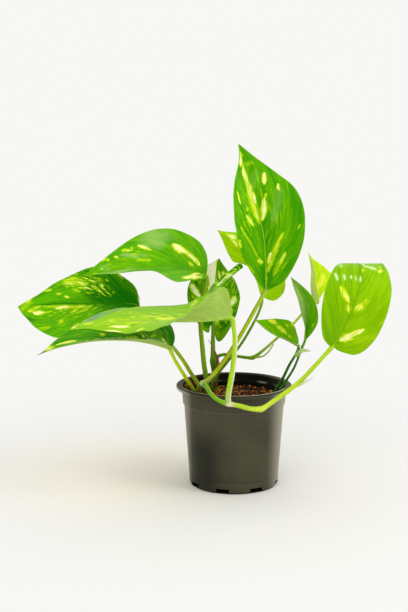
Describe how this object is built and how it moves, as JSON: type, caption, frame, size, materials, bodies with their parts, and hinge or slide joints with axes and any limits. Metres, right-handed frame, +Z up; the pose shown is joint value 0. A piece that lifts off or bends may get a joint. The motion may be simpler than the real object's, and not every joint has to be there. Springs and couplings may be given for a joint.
{
  "type": "potted pothos plant",
  "caption": "Young variegated pothos with heart-shaped leaves on arching stalks, growing in a tapered black plastic nursery pot filled with potting mix.",
  "frame": {"origin": "centre of the pot's underside, on the surface it stands on", "axes": "+Z up, -Y towards the plant's front, +X to the right seen from the front"},
  "size_m": [0.3204, 0.1549, 0.3003],
  "materials": {
    "pot": "semi-matte black polypropylene",
    "soil": "loose coir and bark chips",
    "vine_front": "living stem, satin",
    "vine_middle": "living stem, satin",
    "petiole_b": "living stem, satin",
    "petiole_c": "living stem, satin",
    "petiole_d": "living stem, satin",
    "petiole_f": "living stem, satin",
    "stem_right": "living stem, satin",
    "dry_sheath": "dry papery sheath",
    "leaf_a": "living leaf, satin, variegated",
    "leaf_b": "living leaf, satin, variegated",
    "leaf_c": "living leaf, satin, variegated",
    "leaf_d": "living leaf, satin, variegated",
    "leaf_e": "living leaf, satin, variegated",
    "leaf_f": "living leaf, satin, variegated",
    "leaf_g": "living leaf, satin, variegated",
    "leaf_h": "living leaf, satin, variegated",
    "leaf_i": "living leaf, satin, variegated",
    "leaf_j": "living leaf, satin, variegated",
    "leaf_k": "living leaf, satin, variegated"
  },
  "bodies": {
    "root": {"pot": "pot", "soil": "soil", "vine_front": "vine_front", "vine_middle": "vine_middle", "petiole_b": "petiole_b", "petiole_c": "petiole_c", "petiole_d": "petiole_d", "petiole_f": "petiole_f", "stem_right": "stem_right", "dry_sheath": "dry_sheath", "leaf_a": "leaf_a", "leaf_b": "leaf_b", "leaf_c": "leaf_c", "leaf_d": "leaf_d", "leaf_e": "leaf_e", "leaf_f": "leaf_f", "leaf_g": "leaf_g", "leaf_h": "leaf_h", "leaf_i": "leaf_i", "leaf_j": "leaf_j", "leaf_k": "leaf_k"}
  },
  "joints": []
}
